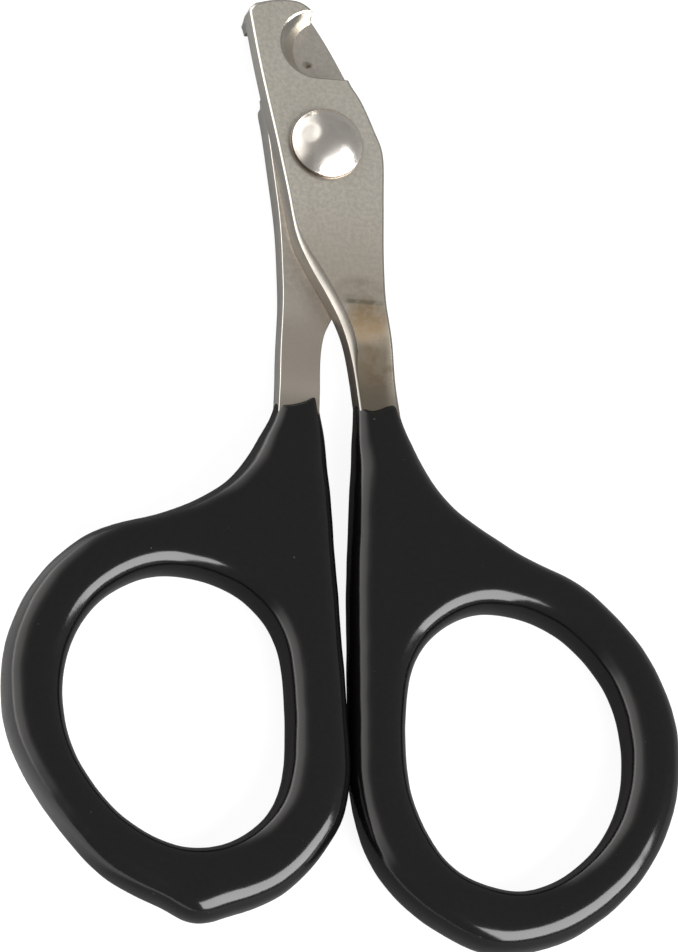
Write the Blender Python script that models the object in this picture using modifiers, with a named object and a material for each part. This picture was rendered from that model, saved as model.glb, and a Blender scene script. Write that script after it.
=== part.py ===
"""Scissor nail clipper for a cat's or small dog's claws.

Two stamped steel blades turn on one rivet. Each blade ends in a bow that is dipped in soft vinyl,
which makes the grip with its finger hole. The part lies flat and closed: the jaws point along +Y,
the handles along -Y, Z = 0 is the plane it rests on, and the Z axis is the pivot's axis.
"""

import math

import bmesh
import bpy
from mathutils import Matrix, Vector

MM = 0.001

# Heights above the resting plane, in millimetres.
GRIP_THICKNESS = 5.0
MID_PLANE = GRIP_THICKNESS / 2      # where the two blades slide on each other
STEEL = 2.1                         # sheet thickness of both blades
RUNNING_GAP = 0.05                  # from the mid plane to each blade's inner face
SET_DOWN = STEEL / 2 + RUNNING_GAP  # how far each shank is joggled towards the mid plane
JOGGLE_START = -15.4                # along Y
JOGGLE_END = -19.4
JOGGLE_STATIONS = 5
STEEL_EDGE = 0.3                    # rounding of the blades' edges

# The rivet: radii and heights.
RIVET_HEAD_RADIUS = 3.15
RIVET_HEAD_RIM = 0.35
RIVET_HEAD_HEIGHT = 1.75
RIVET_SHANK_RADIUS = 1.7
RIVET_HOLE_RADIUS = 1.78            # a running fit on the shank
RIVET_TAIL_RADIUS = 2.6
RIVET_GAP = 0.05                    # from the head and the tail to the blades' faces
RIVET_SIDES = 40

# The grips.
GRIP_EDGE = 2.0                     # rounding of the vinyl's edges
GRIP_MOUTH = -23.6                  # Y where the vinyl starts
GRIP_FULL = -34.0                   # Y where it has its full thickness
GRIP_MOUTH_SCALE = 0.74             # its thickness at the mouth, as a share of the full one
CORE_GAP = 0.2                      # between the steel bow and the vinyl around it
CORE_INSET_MOUTH = 0.55             # vinyl's side wall at the mouth
CORE_INSET_FULL = 1.5               # vinyl's side wall round the finger hole
BOW_START = -25.5                   # below this the blade's outline follows its grip

# Each notch is a slot with a round bottom, ground aslant so that its edge is sharp where the
# blades meet: centre of the round bottom at the mid plane and at the outer face, and its radius.
FRONT_NOTCH = {"inner": (1.05, 9.8), "outer": (-0.6, 9.7), "radius": 3.2, "opens": 1}
REAR_NOTCH = {"inner": (-6.4, 8.75), "outer": (-5.1, 8.75), "radius": 3.15, "opens": -1}
NOTCH_REACH = 9.0                   # how far the slot runs out of the blade

# Outlines, seen from above, in millimetres. Both edges of a blade run between its top and BOW_START.
FRONT_LEFT_EDGE = [(-6.6, 12.6), (-6.0, 8.5), (-5.4, 5.0), (-4.5, 0.2), (-3.7, -4.5), (-3.0, -8.7),
                   (-1.8, -11.6), (-0.2, -14.6), (1.3, -18.0), (2.1, -21.5), (2.5, -25.0)]
FRONT_RIGHT_EDGE = [(6.2, -25.0), (5.8, -21.6), (5.5, -18.4), (5.0, -14.8), (4.95, -10.4),
                    (5.15, -5.0), (5.25, -0.6), (4.5, 1.9), (3.5, 4.4), (2.55, 6.0)]
FRONT_TOP = [(-0.5, 12.7), (-1.2, 13.4), (-2.2, 13.75), (-5.6, 13.45), (-6.3, 13.1)]

REAR_LEFT_EDGE = [(-6.25, 12.8), (-5.95, 11.6), (-4.8, 5.7), (-5.0, 4.3), (-4.75, 2.4),
                  (-4.4, -1.0), (-3.9, -6.5), (-3.8, -11.0), (-3.9, -15.2), (-4.5, -20.4),
                  (-4.9, -25.0)]
REAR_RIGHT_EDGE = [(-1.2, -25.0), (-0.9, -20.7), (-0.35, -17.8), (0.5, -15.9), (2.0, -13.2),
                   (3.3, -10.2), (4.1, -6.6), (4.4, -2.0), (4.2, 2.4), (3.5, 5.7), (2.65, 7.5),
                   (1.3, 10.2), (-0.1, 12.6), (-1.4, 14.5)]
REAR_TOP = [(-2.3, 15.0), (-5.0, 15.0), (-5.9, 14.3)]

# A grip's outline runs past its mouth, where it is cut off square.
RIGHT_GRIP = [(1.95, -16.0), (1.95, -23.6), (1.75, -30.0), (1.1, -40.0), (0.74, -50.0),
              (0.7, -60.2), (3.0, -67.0), (7.8, -71.4), (13.5, -73.4), (20.0, -71.6),
              (26.0, -66.7), (29.4, -60.2), (30.2, -53.0), (28.0, -46.1), (22.8, -40.2),
              (16.0, -36.8), (10.7, -33.2), (7.9, -28.9), (6.4, -23.6), (6.0, -16.0)]
LEFT_GRIP = [(-5.0, -16.0), (-5.2, -23.6), (-6.6, -27.7), (-9.7, -32.0), (-15.0, -35.2),
             (-22.2, -37.8), (-27.2, -42.8), (-29.7, -49.3), (-29.4, -56.1), (-26.6, -62.0),
             (-21.8, -67.8), (-16.3, -70.8), (-12.5, -71.7), (-6.0, -69.3), (-1.4, -64.4),
             (0.36, -59.2), (0.3, -50.0), (-0.15, -40.0), (-0.5, -30.0), (-0.75, -23.6),
             (-0.8, -16.0)]
RIGHT_HOLE = [(14.5, -42.3), (9.6, -44.1), (6.2, -49.0), (5.7, -59.1), (8.9, -65.9), (14.6, -68.0),
              (19.8, -66.0), (23.8, -61.3), (25.4, -55.0), (24.1, -48.6), (20.0, -44.0)]
LEFT_HOLE = [(-14.3, -40.7), (-19.3, -42.3), (-23.0, -46.2), (-24.7, -52.0), (-23.6, -58.2),
             (-19.7, -63.3), (-14.3, -65.7), (-8.9, -64.1), (-5.4, -58.8), (-5.2, -47.7),
             (-8.4, -42.5)]
SMOOTH_STEPS = 3                    # points made between two of a grip's points


def clear_scene():
    for item in list(bpy.data.objects):
        bpy.data.objects.remove(item, do_unlink=True)


def collection(name):
    group = bpy.data.collections.new(name)
    bpy.context.scene.collection.children.link(group)
    return group


def material(name, colour, roughness, metallic):
    finish = bpy.data.materials.new(name)
    finish.use_nodes = True
    shader = finish.node_tree.nodes["Principled BSDF"]
    shader.inputs["Base Color"].default_value = (*colour, 1.0)
    shader.inputs["Roughness"].default_value = roughness
    shader.inputs["Metallic"].default_value = metallic
    return finish


def ease(value, start, end):
    """0 at start, 1 at end, with a smooth run between them."""
    t = min(max((value - start) / (end - start), 0.0), 1.0)
    return t * t * (3.0 - 2.0 * t)


def curve_point(before, first, last, after, t):
    """A point between first and last on the Catmull-Rom curve through four points."""
    return 0.5 * (2.0 * first + (last - before) * t
                  + (2.0 * before - 5.0 * first + 4.0 * last - after) * t * t
                  + (3.0 * first - before - 3.0 * last + after) * t * t * t)


def smooth_edge(points, steps):
    """An open run of points made smooth, with its two end points kept."""
    p = [Vector(point) for point in points]
    p = [2.0 * p[0] - p[1]] + p + [2.0 * p[-1] - p[-2]]
    run = [curve_point(*p[i:i + 4], step / steps)
           for i in range(len(p) - 3) for step in range(steps)]
    return run + [p[-2]]


def smooth_loop(points, steps):
    """A closed loop through the points."""
    p = [Vector(point) for point in points]
    count = len(p)
    return [curve_point(p[i - 1], p[i], p[(i + 1) % count], p[(i + 2) % count], step / steps)
            for i in range(count) for step in range(steps)]


def inset(loop, depth):
    """A closed loop moved to its left by depth, a number or a function of Y.

    The left is the inside of a loop that runs anticlockwise.
    """
    moved = []
    for i, point in enumerate(loop):
        ahead = (loop[(i + 1) % len(loop)] - point).normalized()
        behind = (point - loop[i - 1]).normalized()
        along = (ahead + behind).normalized()
        mitre = max(along.dot(ahead), 0.5)
        distance = depth(point.y) if callable(depth) else depth
        moved.append(point + Vector((-along.y, along.x)) * distance / mitre)
    return moved


def mesh_object(name, source, matrix, group, finish=None):
    """A mesh object made from the evaluated source, welded, with its faces pointing out."""
    evaluated = source.evaluated_get(bpy.context.evaluated_depsgraph_get())
    mesh = bpy.data.meshes.new_from_object(evaluated)
    bpy.data.objects.remove(source, do_unlink=True)
    bm = bmesh.new()
    bm.from_mesh(mesh)
    bmesh.ops.remove_doubles(bm, verts=bm.verts, dist=0.00001)
    bmesh.ops.recalc_face_normals(bm, faces=bm.faces)
    bm.to_mesh(mesh)
    bm.free()
    mesh.name = name
    mesh.materials.clear()
    if finish:
        mesh.materials.append(finish)
    item = bpy.data.objects.new(name, mesh)
    item.matrix_world = matrix
    group.objects.link(item)
    return item


def plate(name, loops, low, high, edge, edge_steps, group, finish=None):
    """A flat plate from low to high, with round edges, whose loops are its outline and holes.

    The outline runs anticlockwise and the holes clockwise.
    """
    outline = bpy.data.curves.new(name, "CURVE")
    outline.dimensions = "2D"
    outline.fill_mode = "BOTH"
    outline.extrude = ((high - low) / 2 - edge) * MM
    outline.bevel_depth = edge * MM
    outline.bevel_resolution = edge_steps
    for loop in loops:
        points = inset(loop, edge)
        spline = outline.splines.new("POLY")
        spline.points.add(len(points) - 1)
        for target, point in zip(spline.points, points):
            target.co = (point.x * MM, point.y * MM, 0.0, 1.0)
        spline.use_cyclic_u = True
    source = bpy.data.objects.new(name, outline)
    bpy.context.scene.collection.objects.link(source)
    bpy.context.view_layer.update()
    height = Matrix.Translation((0.0, 0.0, (low + high) / 2 * MM))
    return mesh_object(name, source, height, group, finish)


def place_in_world(item):
    item.data.transform(item.matrix_world)
    item.matrix_world = Matrix.Identity(4)


def reshape(item, cuts, move, end=None):
    """Cuts rings across the mesh at places along Y, then moves its vertices.

    With an end, what lies past that Y is cut off and the cut is closed.
    """
    place_in_world(item)
    bm = bmesh.new()
    bm.from_mesh(item.data)
    for place in cuts + ([] if end is None else [end]):
        geometry = bm.verts[:] + bm.edges[:] + bm.faces[:]
        bmesh.ops.bisect_plane(bm, geom=geometry, dist=0.000001, clear_outer=place == end,
                               plane_co=(0.0, place * MM, 0.0), plane_no=(0.0, 1.0, 0.0))
    open_edges = [edge for edge in bm.edges if edge.is_boundary]
    bmesh.ops.holes_fill(bm, edges=open_edges)
    bmesh.ops.recalc_face_normals(bm, faces=bm.faces)
    for vertex in bm.verts:
        vertex.co = move(vertex.co / MM) * MM
    bm.to_mesh(item.data)
    bm.free()


def boolean(target, cutter, operation="DIFFERENCE"):
    step = target.modifiers.new(cutter.name, "BOOLEAN")
    step.operation = operation
    step.solver = "EXACT"
    step.object = cutter
    cutter.hide_render = True
    cutter.display_type = "WIRE"


def stations(start, end, count):
    return [start + (end - start) * i / (count - 1) for i in range(count)]


def joggle(item, direction):
    """Sets the shank over by SET_DOWN, up for direction 1 and down for direction -1."""
    def move(point):
        drop = SET_DOWN * ease(point.y, JOGGLE_START, JOGGLE_END)
        return Vector((point.x, point.y, point.z + direction * drop))
    reshape(item, stations(JOGGLE_START, JOGGLE_END, JOGGLE_STATIONS), move)


def core_depth(y):
    """The vinyl's side wall, which grows away from the mouth."""
    return CORE_INSET_MOUTH + (CORE_INSET_FULL - CORE_INSET_MOUTH) * ease(y, GRIP_MOUTH, GRIP_FULL)


def blade_loops(left_edge, grip, hole, right_edge, top, grow=0.0):
    """A blade's outline and the hole in its bow, made larger all round by grow."""
    bow = [point for point in inset(smooth_loop(grip, SMOOTH_STEPS), core_depth) if point.y < BOW_START]
    left = [point for point in smooth_edge(left_edge, 3) if point.y > BOW_START]
    right = [point for point in smooth_edge(right_edge, 3) if point.y > BOW_START]
    outline = left + bow + right + smooth_edge(top, 2)
    opening = list(reversed(smooth_loop(hole, SMOOTH_STEPS)))
    opening = inset(opening, CORE_INSET_FULL)
    return [inset(outline, -grow), inset(opening, -grow)]


def notch_cutter(name, notch, inner_height, outer_height, group):
    """A slot with a round bottom, sheared from its inner centre to its outer one."""
    radius, opens = notch["radius"], notch["opens"]
    arc = [Vector((-opens * radius * math.cos(angle), radius * math.sin(angle)))
           for angle in (math.pi * (0.5 - i / 20) for i in range(21))]
    far = opens * NOTCH_REACH
    loop = arc + [Vector((far, -radius)), Vector((far, radius))]
    if opens < 0:
        loop.reverse()
    thick = outer_height - inner_height
    slot = plate(name, [loop], -1.0, 1.0, 0.0, 0, group)
    place_in_world(slot)
    inner, outer = Vector(notch["inner"]), Vector(notch["outer"])
    for vertex in slot.data.vertices:
        share = 0.5 + vertex.co.z / MM      # past both faces of the blade
        centre = inner.lerp(outer, share)
        height = inner_height + thick * share
        vertex.co += Vector((centre.x, centre.y, 0.0)) * MM
        vertex.co.z = height * MM
    bm = bmesh.new()
    bm.from_mesh(slot.data)
    bmesh.ops.recalc_face_normals(bm, faces=bm.faces)
    bm.to_mesh(slot.data)
    bm.free()
    return slot


def rivet_hole_cutter(name, group):
    bm = bmesh.new()
    bmesh.ops.create_cone(bm, cap_ends=True, segments=RIVET_SIDES, radius1=RIVET_HOLE_RADIUS * MM,
                          radius2=RIVET_HOLE_RADIUS * MM, depth=4 * GRIP_THICKNESS * MM)
    mesh = bpy.data.meshes.new(name)
    bm.to_mesh(mesh)
    bm.free()
    cutter = bpy.data.objects.new(name, mesh)
    group.objects.link(cutter)
    return cutter


def blade(name, loops, direction, notch, finish, parts, cutters):
    """A stamped blade above (direction 1) or below (-1) the mid plane, with its shank joggled."""
    inner = MID_PLANE + direction * RUNNING_GAP
    outer = inner + direction * STEEL
    item = plate(name, loops, min(inner, outer), max(inner, outer), STEEL_EDGE, 0, parts, finish)
    joggle(item, -direction)
    boolean(item, notch_cutter(name + "_notch", notch, inner, outer, cutters))
    boolean(item, rivet_hole_cutter(name + "_rivet_hole", cutters))
    return item


def grip(name, outline, hole, core, finish, parts, cutters):
    """The vinyl on one bow: a plate with round edges, thinner at its mouth, hollow for the steel."""
    loops = [smooth_loop(outline, SMOOTH_STEPS), list(reversed(smooth_loop(hole, SMOOTH_STEPS)))]
    item = plate(name, loops, 0.0, GRIP_THICKNESS, GRIP_EDGE, 2, parts, finish)

    def move(point):
        scale = GRIP_MOUTH_SCALE + (1.0 - GRIP_MOUTH_SCALE) * ease(point.y, GRIP_MOUTH, GRIP_FULL)
        return Vector((point.x, point.y, MID_PLANE + (point.z - MID_PLANE) * scale))
    reshape(item, stations(GRIP_MOUTH, GRIP_FULL, 6)[1:], move, end=GRIP_MOUTH)
    half = STEEL / 2 + CORE_GAP
    hollow = plate(name + "_hollow", core, MID_PLANE - half, MID_PLANE + half,
                   STEEL_EDGE + CORE_GAP, 1, cutters)
    boolean(item, hollow)
    return item


def rivet(name, finish, parts):
    """A domed head, a plain shank and a low peened tail, turned about the pivot's axis."""
    head_face = MID_PLANE + RUNNING_GAP + STEEL + RIVET_GAP
    tail_face = MID_PLANE - RUNNING_GAP - STEEL - RIVET_GAP
    rise = RIVET_HEAD_HEIGHT - RIVET_HEAD_RIM
    ball = (RIVET_HEAD_RADIUS ** 2 + rise ** 2) / (2 * rise)
    reach = math.asin(RIVET_HEAD_RADIUS / ball)
    dome = [(ball * math.sin(reach * i / 7),
             head_face + RIVET_HEAD_HEIGHT - ball + ball * math.cos(reach * i / 7))
            for i in range(8)]
    profile = dome + [(RIVET_HEAD_RADIUS, head_face), (RIVET_SHANK_RADIUS, head_face),
                      (RIVET_SHANK_RADIUS, tail_face), (RIVET_TAIL_RADIUS, tail_face),
                      (RIVET_TAIL_RADIUS - 0.15, 0.0), (0.0, 0.0)]
    mesh = bpy.data.meshes.new(name)
    mesh.from_pydata([(x * MM, 0.0, z * MM) for x, z in profile],
                     [(i, i + 1) for i in range(len(profile) - 1)], [])
    mesh.materials.append(finish)
    item = bpy.data.objects.new(name, mesh)
    parts.objects.link(item)
    screw = item.modifiers.new("turned", "SCREW")
    screw.steps = RIVET_SIDES
    screw.render_steps = RIVET_SIDES
    screw.use_merge_vertices = True
    screw.merge_threshold = 0.00001
    screw.use_smooth_shade = True
    return item


def shade(item):
    item.data.shade_smooth()
    item.data.set_sharp_from_angle(angle=math.radians(35))


def main():
    clear_scene()
    parts = collection("scissor_nail_clipper")
    cutters = collection("cutters")
    steel = material("brushed_steel", (0.42, 0.38, 0.33), 0.34, 1.0)
    polished = material("polished_steel", (0.55, 0.52, 0.48), 0.18, 1.0)
    vinyl = material("black_vinyl", (0.016, 0.016, 0.016), 0.22, 0.0)

    front = (FRONT_LEFT_EDGE, RIGHT_GRIP, RIGHT_HOLE, FRONT_RIGHT_EDGE, FRONT_TOP)
    rear = (REAR_LEFT_EDGE, LEFT_GRIP, LEFT_HOLE, REAR_RIGHT_EDGE, REAR_TOP)
    flat_pieces = [
        blade("front_blade", blade_loops(*front), 1, FRONT_NOTCH, steel, parts, cutters),
        blade("rear_blade", blade_loops(*rear), -1, REAR_NOTCH, steel, parts, cutters),
        grip("right_grip", RIGHT_GRIP, RIGHT_HOLE, blade_loops(*front, grow=CORE_GAP),
             vinyl, parts, cutters),
        grip("left_grip", LEFT_GRIP, LEFT_HOLE, blade_loops(*rear, grow=CORE_GAP),
             vinyl, parts, cutters),
    ]
    for item in flat_pieces:
        shade(item)
    rivet("pivot_rivet", polished, parts)


main()
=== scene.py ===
"""The looks of the scissor nail clipper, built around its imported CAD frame.

Every shape is made in millimetres in the frame of the CAD, and scaled to metres at the end.
The two blades and the rivet are lofted through loops of points. The vinyl grips are remeshed and
pulled onto a smooth field, so that they get the soft swelling form of a dipped coat.
"""

import math

import bmesh
import bpy
import numpy as np
from mathutils import Matrix, Vector, noise
from mathutils.geometry import tessellate_polygon


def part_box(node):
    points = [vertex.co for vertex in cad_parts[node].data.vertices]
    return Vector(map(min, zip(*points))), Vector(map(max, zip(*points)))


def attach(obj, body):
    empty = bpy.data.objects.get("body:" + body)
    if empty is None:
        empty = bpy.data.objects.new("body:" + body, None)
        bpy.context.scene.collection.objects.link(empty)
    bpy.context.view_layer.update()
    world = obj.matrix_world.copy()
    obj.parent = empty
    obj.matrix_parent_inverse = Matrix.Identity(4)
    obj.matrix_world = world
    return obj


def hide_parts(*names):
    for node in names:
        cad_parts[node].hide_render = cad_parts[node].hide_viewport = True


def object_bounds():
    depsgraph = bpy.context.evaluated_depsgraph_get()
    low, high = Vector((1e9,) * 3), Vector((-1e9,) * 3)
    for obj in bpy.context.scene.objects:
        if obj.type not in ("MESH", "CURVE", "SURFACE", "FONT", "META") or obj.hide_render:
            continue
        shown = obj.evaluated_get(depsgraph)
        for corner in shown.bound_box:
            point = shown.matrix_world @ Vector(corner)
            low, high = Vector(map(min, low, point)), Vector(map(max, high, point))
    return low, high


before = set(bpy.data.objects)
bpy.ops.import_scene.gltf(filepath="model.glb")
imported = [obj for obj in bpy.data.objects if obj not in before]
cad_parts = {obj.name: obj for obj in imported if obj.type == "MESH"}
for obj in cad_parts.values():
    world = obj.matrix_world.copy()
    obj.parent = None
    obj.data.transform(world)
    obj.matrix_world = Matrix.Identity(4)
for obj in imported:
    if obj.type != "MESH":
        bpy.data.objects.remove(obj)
cad_low, cad_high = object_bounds()

MM = 0.001

# Outlines seen from above, in millimetres, as in the CAD source.
FRONT_LEFT_EDGE = [(-6.6, 12.6), (-6.0, 8.5), (-5.4, 5.0), (-4.5, 0.2), (-3.7, -4.5), (-3.0, -8.7),
                   (-1.8, -11.6), (-0.2, -14.6), (1.3, -18.0), (2.1, -21.5), (2.5, -25.0)]
FRONT_RIGHT_EDGE = [(6.2, -25.0), (5.8, -21.6), (5.5, -18.4), (5.0, -14.8), (4.95, -10.4),
                    (5.15, -5.0), (5.25, -0.6), (4.5, 1.9), (3.5, 4.4), (2.55, 6.0)]
FRONT_TOP = [(-0.5, 12.7), (-1.3, 13.5), (-2.3, 13.9), (-4.0, 13.85), (-5.4, 13.52), (-6.2, 13.1)]
REAR_LEFT_EDGE = [(-6.25, 12.8), (-5.95, 11.6), (-4.8, 5.7), (-5.0, 4.3), (-4.75, 2.4),
                  (-4.4, -1.0), (-3.9, -6.5), (-3.8, -11.0), (-3.9, -15.2), (-4.5, -20.4),
                  (-4.9, -25.0)]
REAR_RIGHT_EDGE = [(-1.2, -25.0), (-0.9, -20.7), (-0.35, -17.8), (0.5, -15.9), (2.0, -13.2),
                   (3.3, -10.2), (4.1, -6.6), (4.4, -2.0), (4.2, 2.4), (3.5, 5.7), (2.65, 7.5),
                   (1.3, 10.2), (-0.1, 12.6), (-1.3, 14.2)]
REAR_TOP = [(-2.3, 14.55), (-5.0, 14.5), (-5.9, 13.9)]
RIGHT_GRIP = [(1.95, -16.0), (1.95, -23.6), (1.75, -30.0), (1.1, -40.0), (0.74, -50.0),
              (0.7, -60.2), (3.0, -67.0), (7.8, -71.4), (13.5, -73.4), (20.0, -71.6),
              (26.0, -66.7), (29.4, -60.2), (30.2, -53.0), (28.0, -46.1), (22.8, -40.2),
              (16.0, -36.8), (10.7, -33.2), (7.9, -28.9), (6.4, -23.6), (6.0, -16.0)]
LEFT_GRIP = [(-5.0, -16.0), (-5.2, -23.6), (-6.6, -27.7), (-9.7, -32.0), (-15.0, -35.2),
             (-22.2, -37.8), (-27.2, -42.8), (-29.7, -49.3), (-29.4, -56.1), (-26.6, -62.0),
             (-21.8, -67.8), (-16.3, -70.8), (-12.5, -71.7), (-6.0, -69.3), (-1.4, -64.4),
             (0.36, -59.2), (0.3, -50.0), (-0.15, -40.0), (-0.5, -30.0), (-0.75, -23.6),
             (-0.8, -16.0)]
RIGHT_HOLE = [(14.5, -42.3), (9.6, -44.1), (6.2, -49.0), (5.7, -59.1), (8.9, -65.9), (14.6, -68.0),
              (19.8, -66.0), (23.8, -61.3), (25.4, -55.0), (24.1, -48.6), (20.0, -44.0)]
LEFT_HOLE = [(-14.3, -40.7), (-19.3, -42.3), (-23.0, -46.2), (-24.7, -52.0), (-23.6, -58.2),
             (-19.7, -63.3), (-14.3, -65.7), (-8.9, -64.1), (-5.4, -58.8), (-5.2, -47.7),
             (-8.4, -42.5)]
CURVE_STEPS = 8                     # points made between two of an outline's points
TOP_STEPS = 4                       # and along the top of a blade

# Heights, in millimetres.
MID_PLANE = 2.5                     # where the two blades slide on each other
STEEL = 2.1
RUNNING_GAP = 0.05
SET_DOWN = STEEL / 2 + RUNNING_GAP  # how far each shank is joggled towards the mid plane
JOGGLE_START = -15.4
JOGGLE_END = -23.4
JOGGLE_STATIONS = 22

# The steel bow inside the vinyl.
BOW_START = -25.5
BOW_INSET = 1.5
BOW_INSET_MOUTH = 0.55
BOW_INSET_START = -23.6
BOW_INSET_END = -34.0

# Edges of the blades.
FRONT_EDGE = (0.20, 0.36)           # rounding of an edge where it is steep and where it is slack
REAR_EDGE = (0.11, 0.11)
FILED_SLACK = 1.5                   # rounding where the edge of the front shank is filed
FILED_ANGLE = math.radians(16.0)    # tilt at which the filed edge meets the face
EDGE_TURN = math.radians(46.0)      # tilt at which the rounding goes from steep to slack
EDGE_STEPS = 4
SLACK_STEPS = 7
FLAT_SHARP = 2.5                    # degrees past which the border of a flat face stays crisp
SUPPORT = 0.06                      # strip of flat face beside a rounded edge
BLADE_SHARP = 32.0                  # degrees past which any other edge stays crisp
RIVET_SHARP = 50.0

FRONT_NOTCH = {"inner": (1.05, 9.8), "outer": (-0.6, 9.7), "radius": 3.2, "opens": 1}
REAR_NOTCH = {"inner": (-6.4, 8.75), "outer": (-5.1, 8.75), "radius": 3.15, "opens": -1}
NOTCH_REACH = 9.0
NOTCH_RIM = 0.18                    # rounding where the ground bevel meets the outer face
NOTCH_ARC_STEPS = 48
RIVET_HOLE_RADIUS = 1.78

# The rivet.
RIVET_GAP = 0.05                    # from its head to the front blade's face
RIVET_HEAD = 3.15                   # radii
RIVET_RIM = 3.27
RIVET_TAIL = 2.6
RIVET_SHANK = 1.7
RIVET_LIP = 0.42                    # height of the head's wall below the dome
RIVET_SIDES = 112
DOME_STEPS = 26
BLOWS = [(60, 5, 0.025), (168, 25, 0.10)]   # of the hammer: azimuth, tilt and depth
BLOW_SOFT = 0.02
HAMMER_DEPTH = 0.022                # unevenness that the hammer left on the dome
HAMMER_SCALE = 0.9

# The vinyl.
VOXEL = 0.34
RELAX_ROUNDS = 3
RELAX_STEPS = 2
RELAX_SHARE = 0.6                   # of the way to the mean, for each step
PULLS = 3
FINAL_SMOOTHING = 5
GRIP_HALF = 2.5                     # half of its thickness
GRIP_HALF_MOUTH = 1.36
GRIP_ROUND = 2.1                    # rounding of its edges
GRIP_ROUND_MOST = 0.94              # of half of its thickness
GRIP_SWELL_START = -24.0
GRIP_SWELL_END = -33.0
LIP_RADIUS = 0.22
MOUTH_LEAN = (0.0, 0.932, 0.363)    # the way that the coat ends: it reaches higher underneath
MOUTH_TOP = 3.9
MOUTH_PINCH = 0.28                  # how much closer the coat lies to the steel at its mouth
RIGHT_MOUTH = [(0.5, -23.7), (1.54, -24.1), (2.4, -24.4), (3.6, -24.85), (4.6, -24.45),
               (5.72, -24.0), (7.5, -23.7)]
LEFT_MOUTH = [(-6.5, -24.2), (-5.6, -24.45), (-4.1, -24.78), (-2.9, -24.5), (-2.2, -24.2),
              (-1.3, -23.5), (-0.2, -23.3)]
MOUTH_SPARE = 1.6                   # how far the block to remesh reaches past the mouth
PINCH_END = -28.0                   # where along Y the pinch at the mouth has run out
BLOCK_STEPS = 6                     # points of the block's outline between two given ones
BLOCK_WALL = [(1.2, 0.1), (0.25, 1.0), (0.0, 2.5), (0.25, 4.0), (1.2, 4.9)]   # inset and height
RIGHT_DRIPS = [((18.8, -70.8, 1.6), 1.4, 0.12), ((12.0, -72.2, 1.6), 1.2, 0.12)]
LEFT_DRIPS = [((-12.9, -70.9, 3.5), 1.3, 0.5), ((-12.9, -71.2, 1.6), 1.3, 0.2)]

# Steel: base colours, the middle of the front notch, and for the blanked walls the places along
# the blade, in metres, between which they go from one colour to the other.
FRONT_STEEL = (0.86, 0.815, 0.725)
FRONT_NOTCH_MIDDLE = (-0.2, 9.8)
# the front blade's blanked walls are painted lighter near the tip and darker down the shank: painted
# light and shade
FRONT_WALL_LIGHT_AND_SHADE = ((0.009, -0.019), ((0.97, 0.95, 0.90), (0.26, 0.225, 0.195)))
REAR_STEEL = (0.69, 0.645, 0.585)
# the rear blade's blanked walls are painted lighter near the tip and a little darker down the shank:
# painted light and shade
REAR_WALL_LIGHT_AND_SHADE = ((0.012, -0.005), ((0.97, 0.95, 0.91), (0.84, 0.82, 0.79)))
MOUTH_DARKENING = (0.2, 0.18, 0.15)           # darker colour on the steel along the mouth of the vinyl

# The studio: radiance of the room, and of the wall on the left by the sine of its elevation.
ROOM_LEVEL = 0.30
ROOM_COLOUR = (1.0, 0.985, 0.955)
WALL_AZIMUTH = 152.0
WALL_SIDES = (0.45, 0.9)            # cosines between which the wall fades in
WALL_PEAK = 4.0
WALL_GLOW = [(0.0, 4.0), (0.13, 3.2), (0.22, 1.9), (0.42, 1.7), (0.65, 1.2), (0.74, 0.5),
             (0.88, 0.05), (1.0, 0.0)]
KEY_AZIMUTH = -45.5
KEY_ELEVATION = 35.0
KEY_SIZE = (1.7, 0.92)              # metres
KEY_APART = 1.2
KEY_RADIANCE = 8.5
FLOOR_SIZE = 2.0
FLOOR_GLOW = 0.9                    # what the camera sees of the floor apart from its shading

# The camera, in degrees and millimetres.
TILT = 27.0
TURN = -126.0
ROLL = -127.0
AIM = (0.633, -30.61, 2.5)
AWAY = 600.0
LENS = 260.9
SENSOR = 36.0


# ---------------------------------------------------------------- outlines


def ease(value, start, end):
    """0 at start, 1 at end, with a smooth run between them."""
    t = np.clip((value - start) / (end - start), 0.0, 1.0)
    return t * t * (3.0 - 2.0 * t)


def curve(points, closed=False, steps=CURVE_STEPS):
    """Points on the Catmull-Rom curve through the given ones."""
    p = np.array(points, float)
    if closed:
        ring = np.vstack([p[-1:], p, p[:2]])
    else:
        ring = np.vstack([2 * p[:1] - p[1:2], p, 2 * p[-1:] - p[-2:-1]])
    t = (np.arange(steps) / steps)[:, None]
    runs = []
    for a, b, c, d in zip(ring, ring[1:], ring[2:], ring[3:]):
        runs.append(0.5 * (2 * b + (c - a) * t + (2 * a - 5 * b + 4 * c - d) * t ** 2
                           + (3 * b - a - 3 * c + d) * t ** 3))
    return np.vstack(runs if closed else runs + [p[-1:]])


def unit(vectors):
    return vectors / np.linalg.norm(vectors, axis=1, keepdims=True)


def inset(loop, depth):
    """A closed loop moved to its left by depth, a number or one for each point."""
    ahead = unit(np.roll(loop, -1, axis=0) - loop)
    along = unit(ahead + unit(loop - np.roll(loop, 1, axis=0)))
    mitre = np.maximum((along * ahead).sum(axis=1), 0.5)
    left = np.column_stack([-along[:, 1], along[:, 0]])
    return loop + left * (depth / mitre)[:, None]


def blade_loops(left_edge, grip, hole, right_edge, top):
    """A blade's outline, and the hole in its bow, which runs the other way round."""
    bow = curve(grip, closed=True)
    share = ease(bow[:, 1], BOW_INSET_START, BOW_INSET_END)
    bow = inset(bow, BOW_INSET_MOUTH + (BOW_INSET - BOW_INSET_MOUTH) * share)
    bow = bow[bow[:, 1] < BOW_START]
    left, right = curve(left_edge), curve(right_edge)
    outline = np.vstack([left[left[:, 1] > BOW_START], bow, right[right[:, 1] > BOW_START],
                         curve(top, steps=TOP_STEPS)])
    opening = curve(hole, closed=True)[::-1]
    return outline, inset(opening, BOW_INSET)


# ---------------------------------------------------------------- meshes


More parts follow.
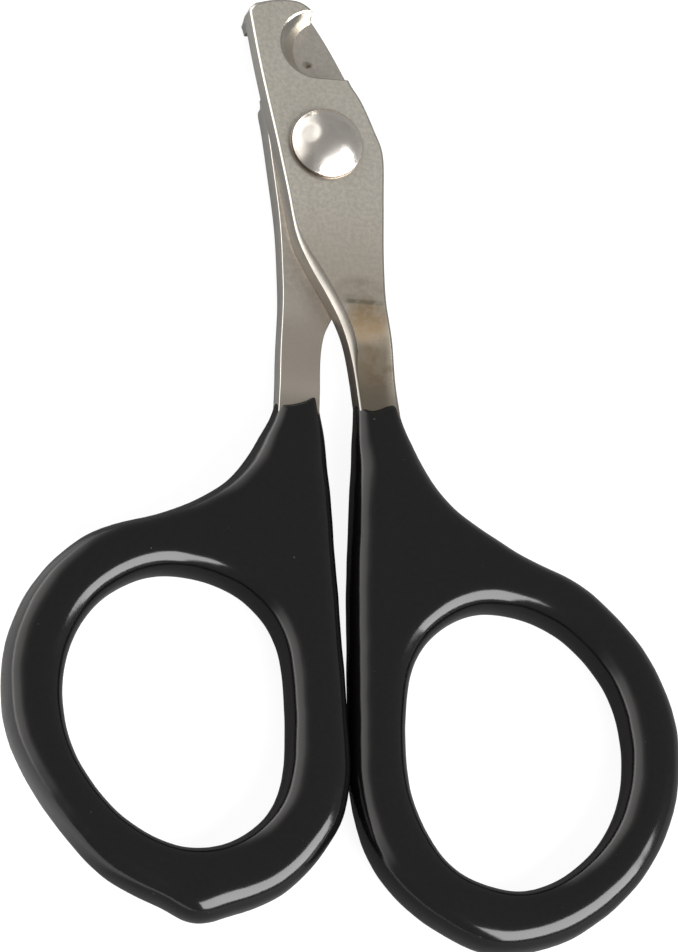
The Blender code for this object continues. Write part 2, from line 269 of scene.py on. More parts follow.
def mesh_object(name, bm):
    bmesh.ops.recalc_face_normals(bm, faces=bm.faces)
    mesh = bpy.data.meshes.new(name)
    bm.to_mesh(mesh)
    bm.free()
    item = bpy.data.objects.new(name, mesh)
    bpy.context.scene.collection.objects.link(item)
    return item


def loft(name, stacks):
    """A closed solid. Each stack is one wall, a list of loops from the bottom face to the top."""
    bm = bmesh.new()
    walls = []
    for stack in stacks:
        rows = [[bm.verts.new(point) for point in loop] for loop in stack]
        for lower, upper in zip(rows, rows[1:]):
            for i in range(len(lower)):
                j = (i + 1) % len(lower)
                bm.faces.new((lower[i], lower[j], upper[j], upper[i]))
        walls.append(rows)
    for end in (0, -1):
        rims = [rows[end] for rows in walls]
        corners = [vertex for rim in rims for vertex in rim]
        for triangle in tessellate_polygon([[vertex.co for vertex in rim] for rim in rims]):
            bm.faces.new([corners[k] for k in triangle])
    return mesh_object(name, bm)


def at_height(loop, height):
    return np.column_stack([loop, np.broadcast_to(height, len(loop))])


def wall(loop, low, high, rounding, filed=None):
    """The loops up one wall of a plate with rounded edges.

    rounding is the radius of an edge where it is steep, and of the upper one where it is slack.
    filed holds, for each point, how far the upper edge is filed there.
    """
    share = np.zeros(len(loop)) if filed is None else filed
    steep, slack = rounding
    slack = slack + (FILED_SLACK - slack) * share
    last = FILED_ANGLE * share
    rows = [at_height(inset(loop, steep + SUPPORT), low)]
    for i in range(EDGE_STEPS + 1):
        turn = math.pi / 2 * (1 - i / EDGE_STEPS)
        rows.append(at_height(inset(loop, steep * (1 - math.cos(turn))),
                              low + steep * (1 - math.sin(turn))))
    sine, cosine = math.sin(EDGE_TURN), math.cos(EDGE_TURN)
    foot = high - steep * cosine - slack * (np.cos(last) - cosine)
    for i in range(EDGE_STEPS):
        turn = math.pi / 2 + (EDGE_TURN - math.pi / 2) * i / EDGE_STEPS
        rows.append(at_height(inset(loop, steep * (1 - math.sin(turn))),
                              foot + steep * math.cos(turn)))
    for i in range(SLACK_STEPS + 1):
        turn = EDGE_TURN + (last - EDGE_TURN) * i / SLACK_STEPS
        depth = steep * (1 - sine) + slack * (sine - np.sin(turn))
        rows.append(at_height(inset(loop, depth),
                              foot + steep * cosine + slack * (np.cos(turn) - cosine)))
    rows.append(at_height(inset(loop, depth + SUPPORT), high))
    return rows


def gathered(collection, name, width, kind=float):
    """What every element of a mesh's collection holds, one row for each."""
    values = np.empty(len(collection) * width, kind)
    collection.foreach_get(name, values)
    return values.reshape(-1, width)


def add_stations(item):
    """Rings cut across the mesh where the shank will bend."""
    bm = bmesh.new()
    bm.from_mesh(item.data)
    bends = np.linspace(JOGGLE_START, JOGGLE_END, JOGGLE_STATIONS)
    for place in (JOGGLE_START + 1.0, JOGGLE_START + 0.5, *bends, JOGGLE_END - 0.5):
        bmesh.ops.bisect_plane(bm, geom=bm.verts[:] + bm.edges[:] + bm.faces[:], dist=0.0001,
                               plane_co=(0.0, place, 0.0), plane_no=(0.0, 1.0, 0.0))
    bm.to_mesh(item.data)
    bm.free()


def joggle(item, direction):
    """Sets the shank over, up for direction 1 and down for direction -1, with its normals."""
    mesh = item.data
    normals = gathered(mesh.corner_normals, "vector", 3)
    points = gathered(mesh.vertices, "co", 3)
    corners = gathered(mesh.loops, "vertex_index", 1, int)[:, 0]
    t = np.clip((points[:, 1] / MM - JOGGLE_START) / (JOGGLE_END - JOGGLE_START), 0.0, 1.0)
    points[:, 2] += direction * SET_DOWN * MM * t * t * (3.0 - 2.0 * t)
    slope = direction * SET_DOWN * 6.0 * t * (1.0 - t) / (JOGGLE_END - JOGGLE_START)
    normals[:, 1] -= slope[corners] * normals[:, 2]
    mesh.vertices.foreach_set("co", points.ravel())
    mesh.update()
    mesh.normals_split_custom_set(unit(normals))


def bake(item):
    """The item with its modifiers made part of its mesh."""
    bpy.context.view_layer.update()
    evaluated = item.evaluated_get(bpy.context.evaluated_depsgraph_get())
    mesh = bpy.data.meshes.new_from_object(evaluated)
    item.modifiers.clear()
    item.data = mesh


def cut(item, cutter):
    step = item.modifiers.new("cut", "BOOLEAN")
    step.operation = "DIFFERENCE"
    step.solver = "EXACT"
    step.object = cutter
    bake(item)
    bpy.data.objects.remove(cutter, do_unlink=True)


def notch_cutter(notch, inner_height, outer_height):
    """A slot with a round bottom that runs aslant from the inner face to the outer one."""
    opens = notch["opens"]
    thick = abs(outer_height - inner_height)
    rim = NOTCH_RIM / thick
    levels = [(-0.3, 0.0), (0.0, 0.0), (0.5, 0.0)]
    for i in range(EDGE_STEPS + 1):
        turn = math.pi / 2 * 0.9 * i / EDGE_STEPS
        levels.append((1 - rim * (1 - math.sin(turn)), NOTCH_RIM * (1 - math.cos(turn))))
    levels.append((1.2, NOTCH_RIM * 4))
    angles = np.linspace(math.pi / 2, -math.pi / 2, NOTCH_ARC_STEPS)
    arc = np.column_stack([-opens * np.cos(angles), np.sin(angles)])
    ends = np.array([(opens * NOTCH_REACH, -1.0), (opens * NOTCH_REACH, 1.0)])
    inner, outer = np.array(notch["inner"]), np.array(notch["outer"])
    stack = []
    for share, grow in levels:
        radius = notch["radius"] + grow
        slot = np.vstack([arc * radius, ends * (1.0, radius)])
        centre = inner + (outer - inner) * share
        stack.append(at_height(slot + centre, inner_height + (outer_height - inner_height) * share))
    return loft("notch", [stack])


def round_cutter(radius, low, high):
    angles = np.linspace(0.0, 2 * math.pi, 64, endpoint=False)
    circle = np.column_stack([np.cos(angles), np.sin(angles)]) * radius
    return loft("hole", [[at_height(circle, low), at_height(circle, high)]])


def clean(item, sharp_degrees):
    """Welds what the cuts left, sets which edges stay sharp, and scales the item to metres."""
    bm = bmesh.new()
    bm.from_mesh(item.data)
    bmesh.ops.remove_doubles(bm, verts=bm.verts, dist=0.002)
    bmesh.ops.dissolve_degenerate(bm, edges=bm.edges, dist=0.001)
    bmesh.ops.recalc_face_normals(bm, faces=bm.faces)
    for edge in bm.edges:
        flat = any(abs(face.normal.z) > 0.99999 for face in edge.link_faces)
        limit = FLAT_SHARP if flat else sharp_degrees
        edge.smooth = edge.calc_face_angle(0.0) < math.radians(limit)
    bm.to_mesh(item.data)
    bm.free()
    item.data.transform(Matrix.Scale(MM, 4))
    for face in item.data.polygons:
        face.use_smooth = True
    normals = item.modifiers.new("normals", "WEIGHTED_NORMAL")
    normals.keep_sharp = True


def blade(name, loops, direction, rounding, notch, filed=None):
    """A blade above (direction 1) or below (-1) the mid plane."""
    inner = MID_PLANE + direction * RUNNING_GAP
    outer = inner + direction * STEEL
    low, high = min(inner, outer), max(inner, outer)
    outline, opening = loops
    item = loft(name, [wall(outline, low, high, rounding, filed and filed(outline)),
                       wall(opening, low, high, rounding)])
    cut(item, notch_cutter(notch, inner, outer))
    cut(item, round_cutter(RIVET_HOLE_RADIUS, low - 1, high + 1))
    add_stations(item)
    clean(item, BLADE_SHARP)
    bake(item)
    joggle(item, -direction)
    return item


def filed_share(outline):
    """How far the edge is filed at each point of the front blade's outline."""
    x, y = outline.T
    share = ease(y, -6.5, -13.5) * (1 - ease(y, -17.5, -21.5))
    return np.where(x < 2.6, share, 0.0)


# ---------------------------------------------------------------- the rivet


def hammer(bm, foot, middle):
    """Flattens the dome above foot, a part of a ball around middle, where the hammer struck."""
    for vertex in bm.verts:
        if vertex.co.z > foot:
            point = vertex.co - middle
            length = point.length
            for turn, tilt, depth in BLOWS:
                a, t = math.radians(turn), math.radians(tilt)
                out = Vector((math.cos(a) * math.sin(t), math.sin(a) * math.sin(t), math.cos(t)))
                over = point.dot(out) - (length - depth)
                point -= out * (over + math.sqrt(over * over + BLOW_SOFT * BLOW_SOFT)) / 2
            point += point.normalized() * HAMMER_DEPTH * noise.noise(point * HAMMER_SCALE)
            vertex.co = point + middle


def rivet():
    """A domed head with the dents of the hammer, a shank, and a peened tail."""
    face = MID_PLANE + RUNNING_GAP + STEEL + RIVET_GAP
    top = (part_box("pivot_rivet")[1] / MM).z
    rim, tail, shank = RIVET_RIM, RIVET_TAIL, RIVET_SHANK
    rise = top - face - RIVET_LIP
    ball = (RIVET_HEAD ** 2 + rise ** 2) / (2 * rise)
    reach = math.asin(RIVET_HEAD / ball)
    profile = [(0.9, 0.0), (1.7, 0.0), (tail - 0.3, 0.02), (tail - 0.1, 0.08),
               (tail, 0.18), (tail, 0.3), (shank, 0.3), (shank, face), (rim - 0.08, face),
               (rim - 0.01, face + 0.06), (rim, face + 0.12), (rim - 0.01, face + 0.3),
               (rim - 0.04, face + 0.38)]
    for i in range(DOME_STEPS, 0, -1):
        turn = reach * i / DOME_STEPS
        profile.append((ball * math.sin(turn), top - ball + ball * math.cos(turn)))
    turns = np.linspace(0.0, 2 * math.pi, RIVET_SIDES, endpoint=False)
    stack = [[(r * math.cos(a), r * math.sin(a), z) for a in turns] for r, z in profile]
    bm = bmesh.new()
    rows = [[bm.verts.new(point) for point in loop] for loop in stack]
    for lower, upper in zip(rows, rows[1:]):
        for i in range(RIVET_SIDES):
            j = (i + 1) % RIVET_SIDES
            bm.faces.new((lower[i], lower[j], upper[j], upper[i]))
    for row, height in ((rows[0], 0.0), (rows[-1], top)):
        centre = bm.verts.new((0.0, 0.0, height))
        for i in range(RIVET_SIDES):
            bm.faces.new((centre, row[i], row[(i + 1) % RIVET_SIDES]))
    hammer(bm, face + RIVET_LIP, Vector((0.0, 0.0, top - ball)))
    item = mesh_object("rivet_domed", bm)
    clean(item, RIVET_SHARP)
    return item


# ---------------------------------------------------------------- the vinyl


def distance(points, loops):
    """Each point's distance to the region's border, negative inside it, and which way is out."""
    nearest = np.full(len(points), np.inf)
    away = np.zeros_like(points)
    inside = np.zeros(len(points), bool)
    x, y = points.T
    for loop in loops:
        for a, b in zip(loop, np.roll(loop, -1, axis=0)):
            along = b - a
            t = np.clip(((points - a) @ along) / (along @ along), 0.0, 1.0)
            apart = points - a - t[:, None] * along
            length = np.hypot(apart[:, 0], apart[:, 1])
            closer = length < nearest
            nearest[closer] = length[closer]
            away[closer] = apart[closer]
            if a[1] != b[1]:
                crossed = (a[1] > y) != (b[1] > y)
                inside ^= crossed & (x < a[0] + along[0] * (y - a[1]) / along[1])
    sign = np.where(inside, -1.0, 1.0)
    return sign * nearest, away * (sign / np.maximum(nearest, 1e-6))[:, None]


def swell(points):
    """Slow unevenness of the dipped coat, in millimetres."""
    x, y, z = points.T
    waves = (np.sin(0.42 * x + 0.31 * y + 1.0) + np.sin(0.77 * y - 0.36 * x + 2.1)
             + 0.6 * np.sin(1.3 * x + 0.9 * y + 0.8 * z) + 0.4 * np.sin(1.9 * y - 1.2 * x))
    return 0.02 * waves


def coat_field(points, loops, mouth, drips):
    """Signed distance to the coat's surface, and its gradient, for points in millimetres."""
    x, y, z = points.T
    full = ease(y, GRIP_SWELL_START, GRIP_SWELL_END)
    half = GRIP_HALF_MOUTH + (GRIP_HALF - GRIP_HALF_MOUTH) * full
    radius = np.minimum(GRIP_ROUND, half * GRIP_ROUND_MOST)
    apart, out = distance(points[:, :2], loops)
    apart = apart + MOUTH_PINCH * (1 - ease(y, GRIP_SWELL_START, PINCH_END))
    side = apart + radius
    lift = np.abs(z - MID_PLANE) - (half - radius)
    corner = np.hypot(np.maximum(side, 0), np.maximum(lift, 0))
    rounded = (side > 0) & (lift > 0)
    value = np.where(rounded, corner, np.maximum(side, lift)) - radius
    scale = np.maximum(corner, 1e-6)
    across = np.where(rounded, side / scale, (side > lift) * 1.0)
    upward = np.where(rounded, lift / scale, (side <= lift) * 1.0) * np.sign(z - MID_PLANE)
    slope = np.column_stack([out * across[:, None], upward])
    value -= swell(points)
    for place, reach, height in drips:
        gap = ((points - np.array(place)) ** 2).sum(axis=1)
        value -= height * np.exp(-gap / (2 * reach ** 2))
    # The mouth, with a rounded lip.
    line = curve(mouth)
    past = y - np.interp(x, line[:, 0], line[:, 1])
    end = past * MOUTH_LEAN[1] + (z - MOUTH_TOP) * MOUTH_LEAN[2]
    u, v = np.maximum(value + LIP_RADIUS, 0), np.maximum(end + LIP_RADIUS, 0)
    both = (u > 0) & (v > 0)
    length = np.maximum(np.hypot(u, v), 1e-6)
    forward = np.array(MOUTH_LEAN)
    turned = slope * (u / length)[:, None] + forward * (v / length)[:, None]
    plain = np.where((value > end)[:, None], slope, forward)
    return (np.where(both, length - LIP_RADIUS, np.maximum(value, end)),
            np.where(both[:, None], turned, plain))


def grip(name, outline, hole, mouth, drips):
    """A dipped coat: a rough block, remeshed and pulled onto the coat's field."""
    loops = [curve(outline, closed=True, steps=BLOCK_STEPS),
             curve(hole, closed=True, steps=BLOCK_STEPS)[::-1]]
    top = max(y for x, y in mouth) + MOUTH_SPARE
    item = loft(name, [block_wall(loops[0][loops[0][:, 1] < top]), block_wall(loops[1])])
    remesh = item.modifiers.new("voxels", "REMESH")
    remesh.mode = "VOXEL"
    remesh.voxel_size = VOXEL
    bake(item)
    mesh = item.data
    points = gathered(mesh.vertices, "co", 3)
    first, second = gathered(mesh.edges, "vertices", 2, int).T
    degree = np.bincount(np.concatenate([first, second]), minlength=len(points))[:, None]
    for round_ in range(RELAX_ROUNDS + 1):
        for pull in range(PULLS):
            value, slope = coat_field(points, loops, mouth, drips)
            points = points - slope * value[:, None]
        if round_ < RELAX_ROUNDS:
            for smooth in range(RELAX_STEPS):
                points = relaxed(points, first, second, degree)
    for smooth in range(FINAL_SMOOTHING):
        points = relaxed(points, first, second, degree)
    mesh.vertices.foreach_set("co", points.ravel())
    mesh.update()
    mesh.transform(Matrix.Scale(MM, 4))
    mesh.shade_smooth()
    return item


def relaxed(points, first, second, degree):
    """Each point moved towards the mean of the points that edges join it to."""
    count = len(points)
    total = np.column_stack([np.bincount(first, points[second, axis], count)
                             + np.bincount(second, points[first, axis], count)
                             for axis in range(3)])
    return (1 - RELAX_SHARE) * points + RELAX_SHARE * total / degree


def block_wall(loop):
    """A simple wall for the block that is remeshed into a grip."""
    return [at_height(inset(loop, depth), height) for depth, height in BLOCK_WALL]


# ---------------------------------------------------------------- materials


class Nodes:
    """A material's nodes, with short ways to add and join them."""

    def __init__(self, name):
        self.material = bpy.data.materials.new(name)
        self.material.use_nodes = True
        self.tree = self.material.node_tree
        self.shader = self.tree.nodes["Principled BSDF"]
        coordinates = self.tree.nodes.new("ShaderNodeTexCoord")
        self.place = coordinates.outputs["Object"]

    def join(self, source, target):
        """Joins a socket, or sets a plain value."""
        if isinstance(source, bpy.types.NodeSocket):
            self.tree.links.new(source, target)
        else:
            target.default_value = source

    def set(self, **values):
        for name, value in values.items():
            self.join(value, self.shader.inputs[name.replace("_", " ")])

    def maths(self, operation, a, b=0.0, c=0.0):
        node = self.tree.nodes.new("ShaderNodeMath")
        node.operation = operation
        for value, target in zip((a, b, c), node.inputs):
            self.join(value, target)
        return node.outputs[0]

    def scaled(self, scale):
        node = self.tree.nodes.new("ShaderNodeVectorMath")
        node.operation = "MULTIPLY"
        self.join(self.place, node.inputs[0])
        node.inputs[1].default_value = scale
        return node.outputs[0]

    def noise(self, scale, detail=2.0, roughness=0.5, stretch=(1.0, 1.0, 1.0)):
        """Noise with about scale features in a metre."""
        node = self.tree.nodes.new("ShaderNodeTexNoise")
        self.join(self.scaled(stretch), node.inputs["Vector"])
        node.inputs["Scale"].default_value = scale
        node.inputs["Detail"].default_value = detail
        node.inputs["Roughness"].default_value = roughness
        return node.outputs["Fac"]

    def ramp(self, value, low, high, to_low=0.0, to_high=1.0, smooth=True):
        node = self.tree.nodes.new("ShaderNodeMapRange")
        node.interpolation_type = "SMOOTHSTEP" if smooth else "LINEAR"
        self.join(value, node.inputs["Value"])
        for name, number in (("From Min", low), ("From Max", high),
                             ("To Min", to_low), ("To Max", to_high)):
            node.inputs[name].default_value = number
        return node.outputs["Result"]

    def axes(self):
        node = self.tree.nodes.new("ShaderNodeSeparateXYZ")
        self.join(self.place, node.inputs[0])
        return node.outputs

    def facing_up(self):
        """How level the surface is: 1 on the flat faces, 0 on the walls."""
        geometry = self.tree.nodes.new("ShaderNodeNewGeometry")
        split = self.tree.nodes.new("ShaderNodeSeparateXYZ")
        self.join(geometry.outputs["True Normal"], split.inputs[0])
        return self.maths("ABSOLUTE", split.outputs["Z"])

    def band(self, value, start, rise, fall, end):
        """1 from rise to fall, and 0 before start and after end, in millimetres."""
        return self.maths("MULTIPLY", self.ramp(value, start * MM, rise * MM),
                          self.ramp(value, fall * MM, end * MM, 1.0, 0.0))

    def spot(self, x, y, width, length, soft=0.6):
        """1 in the middle of an oval spot seen from above, in millimetres, 0 outside it."""
        axes = self.axes()
        across = self.maths("MULTIPLY_ADD", axes["X"], 1 / (width * MM), -x / width)
        along = self.maths("MULTIPLY_ADD", axes["Y"], 1 / (length * MM), -y / length)
        square = self.maths("MULTIPLY_ADD", across, across, self.maths("MULTIPLY", along, along))
        return self.ramp(square, 1.0 - soft, 1.0 + soft, 1.0, 0.0)

    def mix(self, share, first, second):
        node = self.tree.nodes.new("ShaderNodeMix")
        node.data_type = "RGBA"
        self.join(share, node.inputs["Factor"])
        for colour, target in ((first, node.inputs[6]), (second, node.inputs[7])):
            self.join((*colour, 1.0) if isinstance(colour, tuple) else colour, target)
        return node.outputs[2]

    def bump(self, height, strength, depth):
        node = self.tree.nodes.new("ShaderNodeBump")
        self.join(height, node.inputs["Height"])
        node.inputs["Strength"].default_value = strength
        node.inputs["Distance"].default_value = depth * MM
        self.join(node.outputs[0], self.shader.inputs["Normal"])


def darker(colour, share):
    return tuple(channel * share for channel in colour)


def steel(name, colour, tint, notch, walls):
    """Satin steel: tumbled grain, faint streaks along the blade, and the tint and painted shade that
    tint adds.

    notch is the middle of a ground notch whose bevel shows, painted darker as shade, and walls holds
    the places along the blade between which its blanked walls go from one colour to another, and the
    two colours, painted light and shade.
    """
    nodes = Nodes(name)
    grain = nodes.noise(2600.0, 3.0, 0.6)
    streak = nodes.noise(900.0, 3.0, 0.6, stretch=(1.0, 0.12, 1.0))
    cloud = nodes.noise(140.0, 3.0, 0.55)
    base = nodes.mix(nodes.ramp(cloud, 0.35, 0.7), colour, darker(colour, 0.9))
    base = nodes.mix(nodes.ramp(streak, 0.4, 0.75, 0.0, 0.3), base,
                     darker(colour, 0.8))
    base = nodes.mix(nodes.ramp(grain, 0.35, 0.65, 0.0, 0.3), base, (0.35, 0.33, 0.30))
    base = tint(nodes, base, cloud)
    facing = nodes.facing_up()
    blanked = nodes.ramp(facing, 0.35, 0.75, 1.0, 0.0)
    slope = nodes.ramp(facing, 0.9, 0.985, 1.0, 0.0)
    ground = nodes.spot(*notch, 4.2, 3.6, 0.1) if notch else 0.0
    elsewhere = nodes.maths("SUBTRACT", 1.0, ground)
    blanked = nodes.maths("MULTIPLY", blanked, elsewhere)
    edge = nodes.maths("MULTIPLY", slope, elsewhere)
    base = nodes.mix(nodes.maths("MULTIPLY", edge, 0.4), base, (0.78, 0.77, 0.75))
    # painted shade: the bevel of the ground notch is darkened, most towards its top
    bevel = nodes.mix(nodes.ramp(nodes.axes()["Y"], 0.0098, 0.0118), darker(colour, 0.7),
                      darker(colour, 0.5))
    base = nodes.mix(nodes.maths("MULTIPLY", slope, ground), base, bevel)
    # painted light and shade on the blanked walls: lighter near the tip, darker down the shank
    low = nodes.ramp(nodes.axes()["Y"], *walls[0], smooth=False)
    base = nodes.mix(blanked, base, nodes.mix(low, *walls[1]))
    rough = nodes.maths("MULTIPLY_ADD", cloud, 0.08, 0.35)
    rough = nodes.maths("MULTIPLY_ADD", grain, 0.05, rough)
    rough = nodes.maths("MULTIPLY", rough, nodes.ramp(facing, 0.955, 0.975, 0.42, 1.0))
    rough = nodes.maths("MULTIPLY_ADD", blanked, 0.25, rough)
    nodes.set(Base_Color=base, Metallic=1.0, Roughness=rough)
    height = nodes.maths("MULTIPLY_ADD", streak, 0.6, grain)
    nodes.bump(height, 0.25, 0.012)
    return nodes.material


def front_tint_and_shade(nodes, base, cloud):
    """Heat tint, partly painted shade, and grime on the front shank, the joggling tool's mark, a
    painted shadow round the rivet.
    """
    x, y = nodes.axes()["X"], nodes.axes()["Y"]
    # heat tint that also darkens the face down the shank, partly as painted shade
    tint_and_shade = nodes.ramp(y, -0.004, -0.014)
    base = nodes.mix(nodes.maths("MULTIPLY", tint_and_shade, 0.55), base, (0.47, 0.40, 0.32))
    rough_cloud = nodes.noise(750.0, 4.0, 0.65)
    worn = nodes.maths("MULTIPLY", nodes.ramp(y, -0.0165, -0.0195),
                       nodes.ramp(x, 0.0047, 0.0058, 1.0, 0.35))
    base = nodes.mix(nodes.maths("MULTIPLY", worn, nodes.ramp(cloud, 0.25, 0.7, 0.7, 1.0)),
                     base, (0.20, 0.168, 0.125))
    mottle = nodes.maths("MULTIPLY", nodes.spot(4.1, -20.3, 1.5, 2.2, 0.9),
                         nodes.ramp(rough_cloud, 0.42, 0.62, 0.0, 0.75))
    base = nodes.mix(mottle, base, (0.17, 0.125, 0.08))
    smear = nodes.maths("MULTIPLY", nodes.spot(2.6, -13.9, 2.2, 1.3, 0.7),
                        nodes.ramp(rough_cloud, 0.35, 0.65, 0.15, 0.5))
    base = nodes.mix(smear, base, (0.30, 0.25, 0.19))
    patch = nodes.maths("MULTIPLY", nodes.spot(3.15, -16.6, 1.8, 1.8, 0.75),
                        nodes.ramp(rough_cloud, 0.3, 0.55, 0.45, 0.95))
    base = nodes.mix(patch, base, (0.40, 0.29, 0.175))
    mark = nodes.maths("MULTIPLY", nodes.band(y, -15.2, -14.98, -14.8, -14.55),
                       nodes.band(x, 0.9, 1.6, 4.2, 4.9))
    base = nodes.mix(nodes.maths("MULTIPLY", mark, nodes.ramp(rough_cloud, 0.32, 0.56, 0.2, 0.7)),
                     base, (0.17, 0.17, 0.12))
    # painted shadow round the rivet's head, darkest on its lower left
    radius = nodes.maths("SQRT", nodes.maths("MULTIPLY_ADD", x, x, nodes.maths("MULTIPLY", y, y)))
    shadow = nodes.maths("MULTIPLY", nodes.ramp(radius, 0.0032, 0.0037, 0.8, 0.0),
                         nodes.ramp(nodes.maths("ADD", x, y), -0.0046, -0.001, 1.0, 0.1))
    base = nodes.mix(shadow, base, (0.10, 0.075, 0.055))
    # the steel is darker along the mouth of the vinyl
    edge = nodes.ramp(y, -0.0225, -0.0245)
    return nodes.mix(nodes.maths("MULTIPLY", edge, 0.4), base, MOUTH_DARKENING)


def rear_tint_and_shade(nodes, base, cloud):
    """The rear blade is darker and browner down its shank, as tint and partly painted shade, and has a
    stain by its cutting edge.
    """
    y = nodes.axes()["Y"]
    # darker and browner down the shank: tint, and partly painted shade
    base = nodes.mix(nodes.maths("MULTIPLY", nodes.ramp(y, -0.008, -0.02), 0.8), base,
                     (0.56, 0.50, 0.43))
    stain = nodes.maths("MULTIPLY", nodes.spot(-0.86, 8.65, 0.42, 0.32, 0.95),
                        nodes.ramp(nodes.noise(1500.0, 3.0, 0.6), 0.35, 0.6, 0.4, 1.0))
    base = nodes.mix(stain, base, (0.15, 0.11, 0.06))
    # the steel is darker along the mouth of the vinyl
    edge = nodes.ramp(y, -0.0225, -0.0245)
    return nodes.mix(nodes.maths("MULTIPLY", edge, 0.4), base, MOUTH_DARKENING)


def polished():
    """Worn bright steel, with painted shade on its left flank and a painted shadow on the wall under
    the dome.
    """
    nodes = Nodes("rivet_polished")
    wear = nodes.noise(500.0, 4.0, 0.6)
    fine = nodes.noise(2500.0, 2.0, 0.5)
    base = nodes.mix(nodes.ramp(wear, 0.4, 0.75), (0.88, 0.84, 0.79), (0.72, 0.67, 0.61))
    # painted shade on the dome's left flank, toning down what it reflects
    flank = nodes.ramp(nodes.axes()["X"], -0.0012, -0.0018, 0.0, 0.4)
    base = nodes.mix(flank, base, (0.42, 0.39, 0.36))
    # painted shadow on the head's wall under the dome
    rim = nodes.ramp(nodes.facing_up(), 0.3, 0.6, 1.0, 0.0)
    base = nodes.mix(rim, base, (0.16, 0.12, 0.10))
    nodes.set(Base_Color=base, Metallic=1.0, Roughness=nodes.ramp(wear, 0.3, 0.8, 0.2, 0.32))
    nodes.bump(nodes.maths("MULTIPLY_ADD", wear, 1.0, nodes.maths("MULTIPLY", fine, 0.2)),
               0.3, 0.03)
    return nodes.material


def vinyl():
    """Black dipped vinyl: glossy, faintly uneven, with dust specks."""
    nodes = Nodes("black_vinyl")
    soft = nodes.noise(420.0, 2.0, 0.5)
    fine = nodes.noise(2200.0, 2.0, 0.55)
    dust = nodes.ramp(nodes.noise(2600.0, 1.0, 0.4), 0.80, 0.83)
    base = nodes.mix(fine, (0.002, 0.002, 0.0021), (0.0045, 0.0045, 0.0048))
    base = nodes.mix(nodes.maths("MULTIPLY", dust, 0.12), base, (0.20, 0.19, 0.17))
    rough = nodes.maths("MULTIPLY_ADD", soft, 0.08, 0.10)
    rough = nodes.maths("MULTIPLY_ADD", dust, 0.3, rough)
    nodes.set(Base_Color=base, Roughness=rough)
    nodes.bump(nodes.maths("MULTIPLY_ADD", fine, 0.25, soft), 0.12, 0.05)
    return nodes.material


def plain_floor():
    """White to the camera, and paler left of the part for what the vinyl reflects."""
    nodes = Nodes("pale_floor")
    tone = nodes.mix(nodes.noise(3.0, 1.0), (0.17, 0.17, 0.17), (0.18, 0.18, 0.18))
    tone = nodes.mix(nodes.ramp(nodes.axes()["X"], -0.022, -0.03), tone, (0.85, 0.85, 0.85))
    nodes.set(Base_Color=tone, Roughness=0.9)
    nodes.shader.inputs["Emission Color"].default_value = (1.0, 1.0, 1.0, 1.0)
    seen = nodes.tree.nodes.new("ShaderNodeLightPath").outputs["Is Camera Ray"]
    nodes.set(Emission_Strength=nodes.maths("MULTIPLY", seen, FLOOR_GLOW))
    return nodes.material


# ---------------------------------------------------------------- the stage


def direction(azimuth, elevation):
    a, e = math.radians(azimuth), math.radians(elevation)
    return Vector((math.cos(e) * math.cos(a), math.cos(e) * math.sin(a), math.sin(e)))


def softbox(name, azimuth, elevation, width, height, apart, radiance):
    """A rectangular light that faces the part. Widths in metres."""
    data = bpy.data.lights.new(name, "AREA")
    data.shape = "RECTANGLE"
    data.size = width
    data.size_y = height
    data.energy = radiance * math.pi * width * height
    item = bpy.data.objects.new(name, data)
    out = direction(azimuth, elevation)
    item.location = Vector((0.0, -30 * MM, 0.0)) + out * apart
    item.rotation_mode = "QUATERNION"
    item.rotation_quaternion = out.to_track_quat("Z", "Y")
    item.visible_camera = False
    bpy.context.scene.collection.objects.link(item)
    return item


def studio():
    """A grey room with a pale wall on the left that is brightest near the floor."""
    world = bpy.data.worlds.new("studio")
    world.use_nodes = True
    tree = world.node_tree
    place = tree.nodes.new("ShaderNodeTexCoord").outputs["Generated"]
    flat = tree.nodes.new("ShaderNodeVectorMath")
    flat.operation = "MULTIPLY"
    flat.inputs[1].default_value = (1.0, 1.0, 0.0)
    level = tree.nodes.new("ShaderNodeVectorMath")
    level.operation = "NORMALIZE"
    facing = tree.nodes.new("ShaderNodeVectorMath")
    facing.operation = "DOT_PRODUCT"
    facing.inputs[1].default_value = direction(WALL_AZIMUTH, 0.0)
    beside = tree.nodes.new("ShaderNodeMapRange")
    beside.interpolation_type = "SMOOTHSTEP"
    beside.inputs["From Min"].default_value = WALL_SIDES[0]
    beside.inputs["From Max"].default_value = WALL_SIDES[1]
    height = tree.nodes.new("ShaderNodeSeparateXYZ")
    glow = tree.nodes.new("ShaderNodeValToRGB")
    stops = glow.color_ramp.elements
    for position, value in WALL_GLOW:
        if position in (0.0, 1.0):
            stop = stops[0] if position == 0.0 else stops[-1]
        else:
            stop = stops.new(position)
        stop.color = (value / WALL_PEAK,) * 3 + (1.0,)
    product = tree.nodes.new("ShaderNodeMath")
    product.operation = "MULTIPLY"
    strength = tree.nodes.new("ShaderNodeMath")
    strength.operation = "MULTIPLY_ADD"
    strength.inputs[1].default_value = WALL_PEAK
    strength.inputs[2].default_value = ROOM_LEVEL
    background = tree.nodes["Background"]
    background.inputs["Color"].default_value = (*ROOM_COLOUR, 1.0)
    for source, target in ((place, flat.inputs[0]), (flat.outputs[0], level.inputs[0]),
                           (level.outputs[0], facing.inputs[0]),
                           (facing.outputs["Value"], beside.inputs["Value"]),
                           (place, height.inputs[0]), (height.outputs["Z"], glow.inputs["Fac"]),
                           (beside.outputs["Result"], product.inputs[0]),
                           (glow.outputs["Color"], product.inputs[1]),
                           (product.outputs[0], strength.inputs[0]),
                           (strength.outputs[0], background.inputs["Strength"])):
        tree.links.new(source, target)
    return world


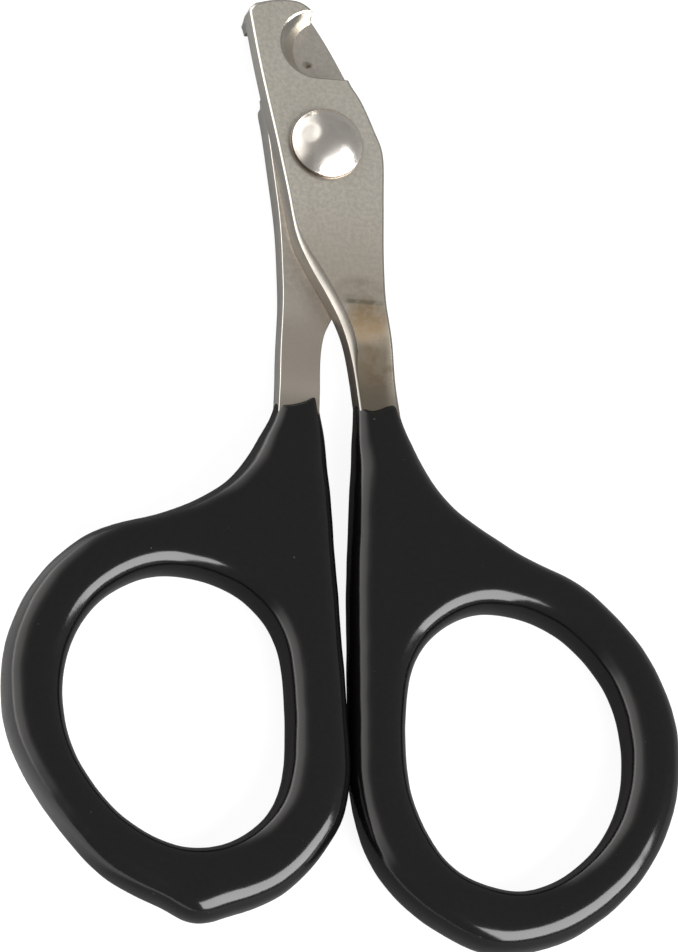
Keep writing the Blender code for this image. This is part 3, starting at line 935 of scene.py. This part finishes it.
def stage():
    scene = bpy.context.scene
    scene.view_settings.view_transform = "Standard"
    scene.world = studio()
    softbox("key", KEY_AZIMUTH, KEY_ELEVATION, *KEY_SIZE, KEY_APART, KEY_RADIANCE)
    bm = bmesh.new()
    bmesh.ops.create_grid(bm, x_segments=8, y_segments=8, size=FLOOR_SIZE)
    floor = mesh_object("floor", bm)
    floor.location.z = cad_low.z - 0.0001
    floor.data.materials.append(plain_floor())


def camera():
    tilt, turn, roll = math.radians(TILT), math.radians(TURN), math.radians(ROLL)
    back = Vector((math.sin(tilt) * math.cos(turn), math.sin(tilt) * math.sin(turn),
                   math.cos(tilt)))
    toward = Vector((math.cos(tilt) * math.cos(turn), math.cos(tilt) * math.sin(turn),
                     -math.sin(tilt)))
    side = Vector((-math.sin(turn), math.cos(turn), 0.0))
    right = toward * math.cos(roll) - side * math.sin(roll)
    up = toward * math.sin(roll) + side * math.cos(roll)
    data = bpy.data.cameras.new("camera")
    data.sensor_width = SENSOR
    data.lens = LENS
    data.clip_start = 0.01
    data.clip_end = 10.0
    item = bpy.data.objects.new("camera", data)
    turned = Matrix((right, up, back)).transposed().to_4x4()
    item.matrix_world = Matrix.Translation(Vector(AIM) * MM + back * AWAY * MM) @ turned
    bpy.context.scene.collection.objects.link(item)
    bpy.context.scene.camera = item


def place(piece, material, body, node, slot):
    piece.data.materials.clear()
    piece.data.materials.append(material)
    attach(piece, body)
    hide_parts(node)


def main():
    front_loops = blade_loops(FRONT_LEFT_EDGE, RIGHT_GRIP, RIGHT_HOLE, FRONT_RIGHT_EDGE, FRONT_TOP)
    rear_loops = blade_loops(REAR_LEFT_EDGE, LEFT_GRIP, LEFT_HOLE, REAR_RIGHT_EDGE, REAR_TOP)
    front = blade("front_blade_steel", front_loops, 1, FRONT_EDGE, FRONT_NOTCH, filed_share)
    rear = blade("rear_blade_steel", rear_loops, -1, REAR_EDGE, REAR_NOTCH)
    right = grip("right_grip_vinyl", RIGHT_GRIP, RIGHT_HOLE, RIGHT_MOUTH, RIGHT_DRIPS)
    left = grip("left_grip_vinyl", LEFT_GRIP, LEFT_HOLE, LEFT_MOUTH, LEFT_DRIPS)
    black = vinyl()
    front_steel = steel("front_steel", FRONT_STEEL, front_tint_and_shade, FRONT_NOTCH_MIDDLE, FRONT_WALL_LIGHT_AND_SHADE)
    rear_steel = steel("rear_steel", REAR_STEEL, rear_tint_and_shade, None, REAR_WALL_LIGHT_AND_SHADE)
    place(front, front_steel, "front_half", "front_blade", "blade_steel")
    place(rear, rear_steel, "rear_half", "rear_blade", "blade_steel")
    place(rivet(), polished(), "front_half", "pivot_rivet", "rivet_steel")
    place(right, black, "front_half", "right_grip", "dipped_vinyl")
    place(left, black, "rear_half", "left_grip", "dipped_vinyl")
    stage()
    camera()


main()
